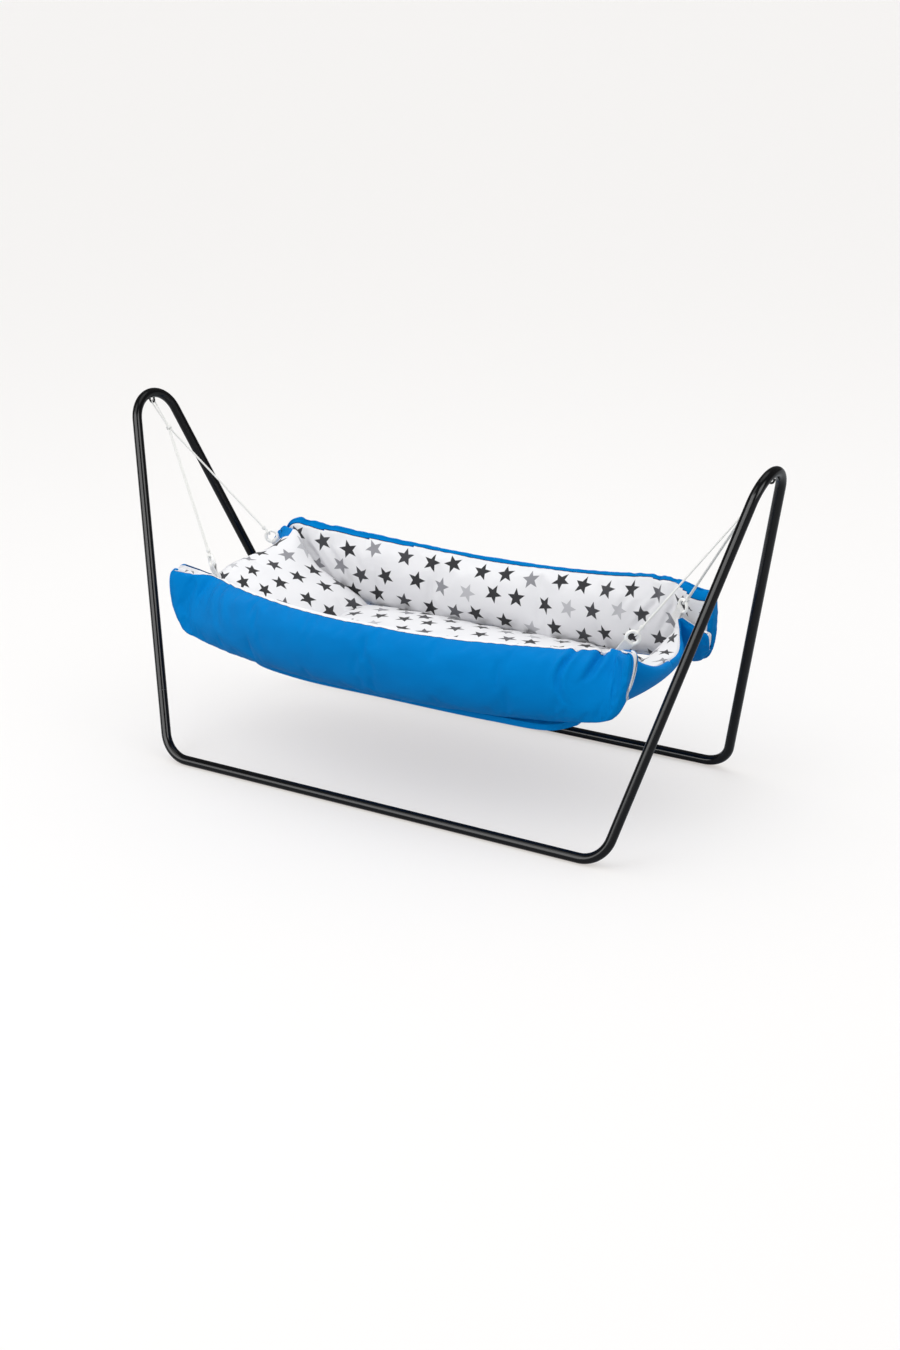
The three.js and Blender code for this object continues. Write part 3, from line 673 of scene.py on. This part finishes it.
# ---- Mattress ----
# The filled floor on top of the base, soft and low, of the star print. Low down on its sides and at its
# left end, where it could be seen from outside, it is of the blue cloth. It lies loose between the walls.
mattress_skirt_top = 0.238
mattress_skirt_end = -0.300
mattress_reach = (-0.322, 0.403)
mattress_half_width = 0.196
mattress_width_shares = [0.8, 0.93, 1, 1, 1, 0.87, 0.7]
mattress_thickness = 0.038
mattress_edge = 0.007
mattress_lift = 0.0003
mattress_swell = (2, 0)
mattress_columns = 130
mattress_rows = 62
mattress_fill_shares = [0.4, 0.75, 1, 1, 1, 0.75, 0.4]
mattress = floor_pad(
    "mattress_pad", mattress_reach, mattress_half_width, mattress_width_shares, base_top + mattress_lift,
    mattress_thickness, mattress_edge, mattress_swell, mattress_columns, mattress_rows, mattress_fill_shares,
)
filled(mattress, pressure=3.0, slack=0.015, cap=0.006, frames=14)
dressed(mattress, "nest", "star_cloth", star_cloth, blue_cloth)
for face in mattress.data.polygons:
    face.material_index = 1 if face.center.z < mattress_skirt_top or face.center.x < mattress_skirt_end else 0
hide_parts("mattress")

# ---- Bolsters ----
# The two long sides: blue satin outside and star print inside over one thick roll of filling,
# sewn together along the crest. Both ends run on past the pinches as flat ears.
rim_half_width = 0.224
rim_height = {-1: 0.376, 1: 0.380}
rim_swell = {-1: 0.0, 1: 0.024}
crown = {(-1, -1): 0.0, (1, -1): 0.0, (-1, 1): 0.038, (1, 1): 0.052}
crown_spread = {-1: 0.0, 1: 0.026}
foot_half_width = 0.206
foot_height = 0.231
bolster_fill = 0.080
bolster_bow = 0.008
bolster_edge = 0.003
bolster_columns = 230
wall_rows = 34
pinch_spread = 0.0045
ear_lengths = {(-1, -1): 0.084, (1, -1): 0.040, (-1, 1): 0.038, (1, 1): 0.062}
ear_lifts = {(-1, -1): 0.015, (1, -1): 0.014, (-1, 1): 0.004, (1, 1): 0.046}
ear_spread = 0.034
# How far an ear bulges out at half its height, and how far its two corners draw back
ear_rounds = {
    (-1, -1): (0.013, 0.014), (1, -1): (0.009, 0.006), (-1, 1): (0.004, 0.010), (1, 1): (0.006, 0.006),
}
run_shares = [0, 0.3, 0.6, 0.83, 1]
rim_bulge_shares = [1, 0.93, 0.67, 0.32, 0]
rim_swell_shares = [0, 0.25, 0.75, 1, 0.3]
foot_width_shares = [1, 1, 0.98, 0.95, 0.9]
foot_rise_shares = [0, 0, 0.04, 0.1, 0.18]
bolster_fill_shares = [1, 0.98, 0.88, 0.7, 0.42]
ear_run_shares = [0.55, 1]
ear_foot_run_shares = [0.52, 0.8]
ear_foot_width_shares = [0.86, 0.8]
ear_foot_rise_shares = [0.25, 0.43]
ear_fill_shares = [0.34, 0.2]
# Along the front rim a third row of the lining shows between these places, and none beyond them
front_tuck = (0.441, 0.457)
# Rows of blue cloth over the back rim up to each place, beyond the last a climb, and all rows at the tip
back_laps = ((-0.4, 4), (-0.3, 3), (-0.2, 2), (0.40, 1), (0.45, 2))
lap_climb = 6
lap_climb_run = 0.04
back_tip = 0.016
# A peak in a panel's rim: its place, its spread along x and y, and how far it is drawn
back_peak = ((-0.462, 0.140, 0.400), (0.030, 0.05), (0.014, -0.006, 0.012))
peak_depth = 0.1
peak_fade = 0.09
# The raised lips beside a pucker: their share of its depth, and their place and width in its widths
lip_share, lip_place, lip_width = 0.4, 2.1, 1.1
pucker_fade = 0.6
rim_share = 0.55  # how much of its depth a pucker has at the rim itself, up to rim_run below it
rim_run = 0.08
# Puckers where the cord's pull gathers the cloth: place along the rim, depth, width, drop, lean and bend
puckers = {
    -1: ((0.408, 0.0075, 0.0055, 0.62, 0.004, -0.016), (0.449, 0.0105, 0.0065, 0.34, -0.004, 0.004),
         (0.372, 0.0025, 0.010, 0.45, 0.01, 0.0), (-0.385, 0.0022, 0.013, 0.50, 0.022, 0.0),
         (-0.422, 0.0034, 0.010, 0.55, 0.016, 0.0), (-0.452, 0.0036, 0.009, 0.42, 0.002, -0.006),
         (-0.468, 0.0034, 0.009, 0.34, -0.010, 0.0)),
    1: ((-0.330, 0.0030, 0.009, 0.5, 0.02, 0.0), (-0.385, 0.0050, 0.008, 0.6, 0.03, 0.0),
        (-0.430, 0.0060, 0.007, 0.7, 0.03, 0.0), (0.350, 0.0030, 0.008, 0.4, -0.02, 0.0),
        (0.415, 0.0060, 0.007, 0.5, -0.03, 0.0), (0.455, 0.0045, 0.006, 0.5, -0.02, 0.0)),
}


def ear_reach(end, side, share):
    """How far along the cradle an ear has come at a share of its length past the pinch."""
    return end * (pinch_half_length + ear_lengths[end, side] * share)


def half_bolster(end, side):
    """Rim, foot and filling of half a bolster, from its middle to the tip of one ear."""
    depth = rim_height[side] - foot_height
    pinch_rim = pinch_half_width + pinch_spread
    peak = crown[end, side]
    places = []
    for i, share in enumerate(run_shares):
        rim_y = pinch_rim + (rim_half_width - pinch_rim) * rim_bulge_shares[i]
        rim_y += crown_spread[side] * share ** 4
        level = rim_height[side] + (pinch_height + peak - rim_height[side]) * share ** 4
        x = end * pinch_half_length * share
        places.append((
            (x, side * rim_y, level + rim_swell[side] * rim_swell_shares[i]),
            (x, side * foot_half_width * foot_width_shares[i], foot_height + depth * foot_rise_shares[i]),
            bolster_fill * bolster_fill_shares[i],
        ))
    for i, share in enumerate(ear_run_shares):
        rim_y = pinch_rim + crown_spread[side] * (1 - share) + ear_spread * share
        places.append((
            (ear_reach(end, side, share), side * rim_y,
             pinch_height + peak * (1 - share) + ear_lifts[end, side] * share),
            (ear_reach(end, side, ear_foot_run_shares[i]), side * foot_half_width * ear_foot_width_shares[i],
             foot_height + depth * ear_foot_rise_shares[i]),
            bolster_fill * ear_fill_shares[i],
        ))
    return places


def round_ears(points, v):
    """Gives both layers of every ear the same rounded outline."""
    for (end, side), (bulge, pull) in ear_rounds.items():
        out = np.clip((points[:, 0] * end - pinch_half_length) / ear_lengths[end, side], 0, 1)
        out = np.where(points[:, 1] * side > 0, out, 0) ** 2
        points[:, 0] += end * out * (bulge * np.sin(np.pi * v) - pull * (2 * v - 1) ** 6)
    return points


def pull_peak(piece, place, spread, move):
    """Draws the top of a panel towards its peak, the less the further from place and the lower down."""
    places = read(piece.data)
    away = (places[:, :2] - place[:2]) / spread
    share = np.exp(-(away ** 2).sum(axis=1) / 2)
    share *= np.clip((places[:, 2] - place[2] + peak_depth) / peak_fade, 0, 1) ** 2
    move_to(piece.data, places + share[:, None] * move)


def gather(piece, side):
    """Draws the cloth in along each pucker, from the rim downwards, on both faces."""
    places, normals = read(piece.data), read(piece.data, "normal")
    below = (rim_height[side] - places[:, 2]) / (rim_height[side] - foot_height)
    draw = np.zeros(len(places))
    for x, depth, width, drop, lean, bend in puckers[side]:
        fall = np.clip(below / drop, 0, 1)
        fade = (1 - fall) ** pucker_fade * (rim_share + (1 - rim_share) * np.clip(below / rim_run, 0, 1))
        off = (places[:, 0] - (x + lean * 2 * fall + bend * np.sin(np.pi * fall))) / width
        lips = lip_share * np.exp(-((np.abs(off) - lip_place) / lip_width) ** 2)
        draw += depth * fade * (np.exp(-off ** 2) - lips)
    move_to(piece.data, places - normals * draw[:, None])


def front_lap(place):
    """How many rows of the front's blue face the lining takes, to show as a white line along the rim."""
    if front_tuck[0] < place[0] < front_tuck[1]:
        return 3
    return 0 if place[0] > front_tuck[1] else 2


def back_lap(place):
    """How many rows the blue cloth comes over the back rim: more where the left peak pulls it inwards."""
    if place[0] > ear_reach(1, 1, 1) - back_tip:
        return wall_rows
    start, rows = back_laps[-1]
    if place[0] > start:
        return rows + int(lap_climb * min((place[0] - start) / lap_climb_run, 1))
    return next(rows for limit, rows in back_laps if place[0] <= limit)


for side, side_name, lap in ((-1, "front", front_lap), (1, "back", back_lap)):
    places = half_bolster(-1, side)[:0:-1] + half_bolster(1, side)
    rim, foot, fills = zip(*places)
    bolster = stuffed_panel(
        f"bolster_roll_{side_name}", foot, rim, fills, bolster_edge, bolster_columns, wall_rows,
        bow=(0, side * bolster_bow, 0), rounded=round_ears, lap=lap,
    )
    filled(bolster, pressure=4.0, slack=0.02, cap=0.006, frames=18)
    if side > 0:
        pull_peak(bolster, *back_peak)
    gather(bolster, side)
    covers = (blue_cloth, star_cloth) if side < 0 else (star_cloth, blue_cloth)
    dressed(bolster, "nest", "blue_cloth", *covers)
    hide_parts(f"bolster_{side_name}")

# ---- End pads ----
# The sloping ends: star print inside and blue outside, thick at the head and thin at the foot.
# Each runs round its two pinches and out along the ears as their inner layer.
foot_reach = {-1: 0.296, 1: 0.408}
end_foot_height = 0.240
rim_reach = {-1: 0.496, 1: 0.520}
end_rim_height = {-1: 0.373, 1: 0.318}
end_fill = {-1: 0.062, 1: 0.042}
ear_edge = 0.002
lining_lifts = {(-1, -1): 0.018, (1, -1): 0.014, (-1, 1): 0.004, (1, 1): -0.030}
lining_spreads = {(-1, -1): 0.018, (1, -1): 0.028, (-1, 1): 0.028, (1, 1): 0.016}
pad_columns = 150
left_peaks = (
    ((-0.441, 0.118, 0.370), (0.026, 0.032), (0.004, 0.014, 0.050)),
    ((-0.482, 0.132, 0.370), (0.018, 0.013), (0, 0.002, 0.034)),
)
# The tip of the back left ear is turned over, so that its blue side shows
turned_ear_reach = (-0.507, -0.450)
turned_ear_side = 0.100
turned_ear_height = 0.379
lining_run_shares = [1, 0.55, 0.1]
lining_foot_run_shares = [0.8, 0.52, 0.1]
lining_foot_width_shares = [0.74, 0.79, 0.82]
lining_rise_shares = [0.43, 0.25, 0.18]
lining_fill_shares = [0.2, 0.22, 0.24]
pad_width_shares = [0.84, 0.45]
pad_fill_shares = [0.5, 0.9]


def left_lap(place):
    """Along the ears the blue comes over the rim, and between the pinches the star print does."""
    return -1 if abs(place[1]) > pinch_half_width else 1


def right_lap(place):
    """The same at the right, where the star print is the panel's first face."""
    return 2 if abs(place[1]) > pinch_half_width else 0


for end, end_name, lap in ((-1, "left", left_lap), (1, "right", right_lap)):
    depth = rim_height[-1] - foot_height
    inner_rim = pinch_half_width - pinch_spread
    halves = {}
    for side in (1, -1):
        half = []
        for i, share in enumerate(lining_run_shares):
            foot_y = foot_half_width * lining_foot_width_shares[i]
            half.append((
                (ear_reach(end, side, share), side * (inner_rim + lining_spreads[end, side] * share),
                 pinch_height + lining_lifts[end, side] * share),
                (ear_reach(end, side, lining_foot_run_shares[i]), side * foot_y,
                 foot_height + depth * lining_rise_shares[i] + ear_edge),
                bolster_fill * lining_fill_shares[i],
            ))
        for share, fill in zip(pad_width_shares, pad_fill_shares):
            slack = 1 - share ** 3
            rim_x = pinch_half_length + (rim_reach[end] - pinch_half_length) * slack
            half.append((
                (end * rim_x, side * inner_rim * share,
                 pinch_height + (end_rim_height[end] - pinch_height) * slack),
                (end * foot_reach[end], side * foot_half_width * share, end_foot_height),
                end_fill[end] * fill,
            ))
        halves[side] = half
    crown_place = (
        (end * rim_reach[end], 0, end_rim_height[end]), (end * foot_reach[end], 0, end_foot_height),
        end_fill[end],
    )
    rim, foot, fills = zip(*halves[1], crown_place, *halves[-1][::-1])
    pad = stuffed_panel(
        f"end_cushion_{end_name}", foot, rim, fills, ear_edge, pad_columns, wall_rows, rounded=round_ears,
        lap=lap,
    )
    filled(pad, pressure=4.0, slack=0.02, cap=0.006, frames=16)
    if end < 0:
        for peak in left_peaks:
            pull_peak(pad, *peak)
        for face in pad.data.polygons:
            x, y, z = face.center
            inside = turned_ear_reach[0] < x < turned_ear_reach[1]
            if inside and y > turned_ear_side and z > turned_ear_height:
                face.material_index = 0
    covers = (blue_cloth, star_cloth) if end < 0 else (star_cloth, blue_cloth)
    dressed(pad, "nest", "star_cloth", *covers)
    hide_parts(f"end_pad_{end_name}")

# ---- Webbing tabs ----
# White cotton webbing 20 mm wide, folded round each ring and sewn into the pinched corner
# with two rows of stitches across it.
ring_hole = 0.018
ring_wire = 0.0065
ring_radius = (ring_hole + ring_wire) / 2
tab_width = 0.020
tab_length = 0.022
tab_root = 0.014
strap_thickness = 0.0018
strap_slack = 0.0003
strap_columns = 8
stitch_rows = (0.003, 0.0115)
stitch_pitch = 0.0026
stitch_lift = 0.0017
stitch_half_length = 0.0009
stitch_radius = 0.0003
cord = 0.003
loop_length = 0.059


def sling_line(end):
    """Where a sling's cord bears on its eye, the way it pulls, and where its knot sits."""
    top, down = arch_top(end)
    round_end = top + down * eye_drop
    pull = (Vector((end * pinch_half_length, 0, pinch_height)) - round_end).normalized()
    bearing = round_end + pull * eye_radius
    return bearing, pull, bearing + pull * loop_length


def corner_line(end, side):
    """A pinch, the way up from it along its leg of the sling, and the way across the ring."""
    pinch = Vector((end * pinch_half_length, side * pinch_half_width, pinch_height))
    upward = (sling_line(end)[2] - pinch).normalized()
    return pinch, upward, upward.cross(Vector((0, 0, 1))).normalized()


# Plain-woven cotton webbing: ribs across it 1.6 mm apart, a little wavy, and matt.
webbing = finish_named("white_cotton_webbing")
flat = put(webbing, "UVMap", uv_map="strap")
lay = put(webbing, "Mapping", {"Scale": (620, 620, 1)}, {"Vector": flat})
ribs = put(
    webbing, "TexWave", {"Scale": 1.0, "Distortion": 0.8, "Detail": 1.0},
    {"Vector": lay}, bands_direction="X",
)
warp = put(webbing, "TexWave", {"Scale": 1.3, "Distortion": 0.5}, {"Vector": lay}, bands_direction="Y")
weave = reckoned(webbing, "Math", "MULTIPLY", ribs.outputs["Fac"], warp.outputs["Fac"])
relief = put(webbing, "Bump", {"Strength": 0.5, "Distance": 0.0005}, {"Height": weave})
tone = between(webbing, "#dcdcdb", "#f2f2f0", weave)
surfaced(webbing, {"Roughness": 0.85, "Sheen Weight": 0.15}, {"Base Color": tone, "Normal": relief})

for (end, end_name), (side, side_name) in product(both_ends, both_sides):
    pinch, upward, facing = corner_line(end, side)
    out = upward.cross(facing)
    half = strap_thickness / 2
    bend = ring_wire / 2 + strap_slack + half
    path = [(-half, -tab_root), (-half, 0), (-half, tab_length / 3)]
    path += [(-bend * math.cos(a), tab_length + bend * math.sin(a)) for a in np.linspace(0, math.pi, 17)]
    path += [(half, tab_length / 3), (half, 0), (half, -tab_root)]
    strap = bmesh.new()
    layer = strap.loops.layers.uv.new("strap")
    rows = []
    run = 0.0
    for i, (x, z) in enumerate(path):
        run += math.dist(path[i - 1], (x, z)) if i else 0
        across = [out * w * tab_width / 2 for w in np.linspace(-1, 1, strap_columns + 1)]
        rows.append(([strap.verts.new(pinch + facing * x + upward * z + way) for way in across], run))
    for (first, a), (second, b) in zip(rows, rows[1:]):
        for k in range(strap_columns):
            face = strap.faces.new((first[k], first[k + 1], second[k + 1], second[k]))
            for loop, place in zip(face.loops, ((a, k), (a, k + 1), (b, k + 1), (b, k))):
                loop[layer].uv = (place[0], place[1] * tab_width / strap_columns)
    mesh = bpy.data.meshes.new(f"webbing_tab_{side_name}_{end_name}")
    strap.to_mesh(mesh)
    strap.free()
    tab = placed(mesh.name, mesh)
    only(tab)
    reshaped(tab, "SOLIDIFY", thickness=strap_thickness - strap_slack, offset=0.0)
    reshaped(tab, "BEVEL", width=0.0004, segments=2, limit_method="ANGLE", angle_limit=math.radians(50))
    reshaped(tab, "SUBSURF", levels=1, render_levels=1)
    bpy.ops.object.shade_smooth()
    stitches = []
    for height in stitch_rows:
        for k in range(-3, 4):
            middle = pinch + upward * height + out * k * stitch_pitch + facing * stitch_lift
            tips = [middle + out * reach for reach in (-stitch_half_length, stitch_half_length)]
            stitches.append(round_bar("stitch", tips, stitch_radius, 2))
    tab = joined(tab.name, [tab, *stitches])
    dressed(tab, "nest", "webbing", webbing)
    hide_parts(f"tab_{side_name}_{end_name}")

# ---- Rings ----
# Moulded white nylon rings, 31 mm across, with a fine parting line round the outside.
parting_reach = 0.00005
parting_rise = 0.00022
nylon = finish_named("white_moulded_nylon")
flow = on_piece(nylon, "TexNoise", {"Scale": 120.0, "Detail": 2.0})
gloss = ranged(nylon, flow.outputs["Fac"], 0.26, 0.38)
tone = between(nylon, "#ededea", "#f5f5f2", flow.outputs["Fac"])
surfaced(nylon, {
    "IOR": 1.53, "Subsurface Weight": 0.15, "Subsurface Radius": (0.004, 0.004, 0.004),
    "Subsurface Scale": 0.5,
}, {"Base Color": tone, "Roughness": gloss})

for (end, end_name), (side, side_name) in product(both_ends, both_sides):
    pinch, upward, facing = corner_line(end, side)
    out = upward.cross(facing)
    centre = pinch + upward * (tab_length + ring_radius)
    bpy.ops.object.select_all(action="DESELECT")
    bpy.ops.mesh.primitive_torus_add(
        major_segments=64, minor_segments=20, major_radius=ring_radius, minor_radius=ring_wire / 2,
    )
    ring = bpy.context.active_object
    ring.name = f"nylon_ring_{side_name}_{end_name}"
    rim = max(math.hypot(v.co.x, v.co.y) for v in ring.data.vertices)
    for vertex in ring.data.vertices:
        if math.hypot(vertex.co.x, vertex.co.y) > rim - parting_reach:
            vertex.co.xy *= 1 + parting_rise / rim
    ring.matrix_world = Matrix.Translation(centre) @ Matrix((out, upward, facing)).transposed().to_4x4()
    only(ring)
    bpy.ops.object.transform_apply(location=True, rotation=True, scale=True)
    bpy.ops.object.mode_set(mode="EDIT")
    bpy.ops.mesh.select_all(action="SELECT")
    bpy.ops.mesh.normals_make_consistent(inside=False)
    bpy.ops.object.mode_set(mode="OBJECT")
    bpy.ops.object.shade_smooth()
    dressed(ring, "nest", "nylon", nylon)
    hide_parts(f"ring_{side_name}_{end_name}")

# ---- Sling cords ----
# White braided polyester cord, 3 mm thick: one knot under each arch, and from it two doubled legs
# that go round the wire of their rings and are bound by a small wrapped knot above it.
cord_clearance = 0.0007
cord_play = 0.0011
wrap_steps = 14
knot_width = 0.012
ring_knot_width = 0.0085
ring_knot_lift = 0.005
strand_spread = 0.0034


def wraps(name, place, axis, across, width, turns):
    """A cord wound round and round from place upwards along axis, with both ends tucked in."""
    other = axis.cross(across)
    radius = width / 2 - cord / 2
    points = [place + axis * cord * 0.5]
    for step in range(turns * wrap_steps + 1):
        angle = 2 * math.pi * step / wrap_steps
        rise = cord * (0.5 + (turns - 1) * step / (turns * wrap_steps))
        points.append(place + axis * rise + (across * math.cos(angle) + other * math.sin(angle)) * radius)
    points.append(place + axis * cord * (turns - 0.5))
    return round_bar(name, points, cord / 2, 4)


# Braided polyester: strands laid both ways round the cord, 1.4 mm apart, soft and matt.
braid = finish_named("white_braided_polyester")
strands = []
for turn in (0.7, -0.7):
    lay = on_piece(braid, "Mapping", {"Scale": (700, 700, 700), "Rotation": (turn, turn, 0)})
    strands.append(put(braid, "TexWave", {"Scale": 1.0, "Distortion": 0.5}, {
        "Vector": lay,
    }, bands_direction="Z").outputs["Fac"])
plait = reckoned(braid, "Math", "MAXIMUM", *strands)
relief = put(braid, "Bump", {"Strength": 0.5, "Distance": 0.0004}, {"Height": plait})
tone = between(braid, "#dededb", "#f4f4f1", plait)
surfaced(braid, {"Roughness": 0.8, "Sheen Weight": 0.2}, {"Base Color": tone, "Normal": relief})

for end, end_name in both_ends:
    pull, knot = sling_line(end)[1:]
    cords = [wraps("knot", knot, pull, Vector((0, 1, 0)), knot_width, 3)]
    for side in (-1, 1):
        pinch, upward, facing = corner_line(end, side)
        ring_top = tab_length + 2 * ring_radius
        half = (ring_wire + cord) / 2 + cord_clearance
        inset = strand_spread / 2
        start = knot + pull * cord
        bottom = pinch + upward * (ring_top - ring_wire / 2 - cord / 2 - cord_play)
        shoulder = pinch + upward * (ring_top + ring_wire / 4)
        neck = pinch + upward * (ring_top + ring_wire / 2 + ring_knot_lift)
        corners = there_and_back((start, neck, shoulder, bottom), facing, (inset, inset, half, half))
        cords.append(round_bar("strands", bent(corners, half - bend_slack, 6), cord / 2, 4))
        cords.append(wraps("small_knot", neck, upward, facing, ring_knot_width, 3))
    sling = joined(f"braided_sling_{end_name}", cords)
    dressed(sling, f"sling_{end_name}", "cord", braid)
    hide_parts(f"sling_cord_{end_name}")

# ---- Cord loops ----
# The doubled cord from each knot over the wire eye, which carries the nest and lets it swing.
# White braided polyester as below the knot, held there by the knot's turns.
knot_gap = 0.0003
for end, end_name in both_ends:
    bearing, pull, knot = sling_line(end)
    half = (eye_wire + cord) / 2 + cord_clearance
    inset = strand_spread / 2
    points = (knot - pull * knot_gap, bearing + pull * half, bearing - pull * half)
    corners = there_and_back(points, Vector((0, 1, 0)), (inset, half, half))
    loop = round_bar(f"braided_loop_{end_name}", bent(corners, half - bend_slack, 8), cord / 2, 4)
    dressed(loop, "hangers", "cord", braid)
    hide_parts(f"cord_loop_{end_name}")
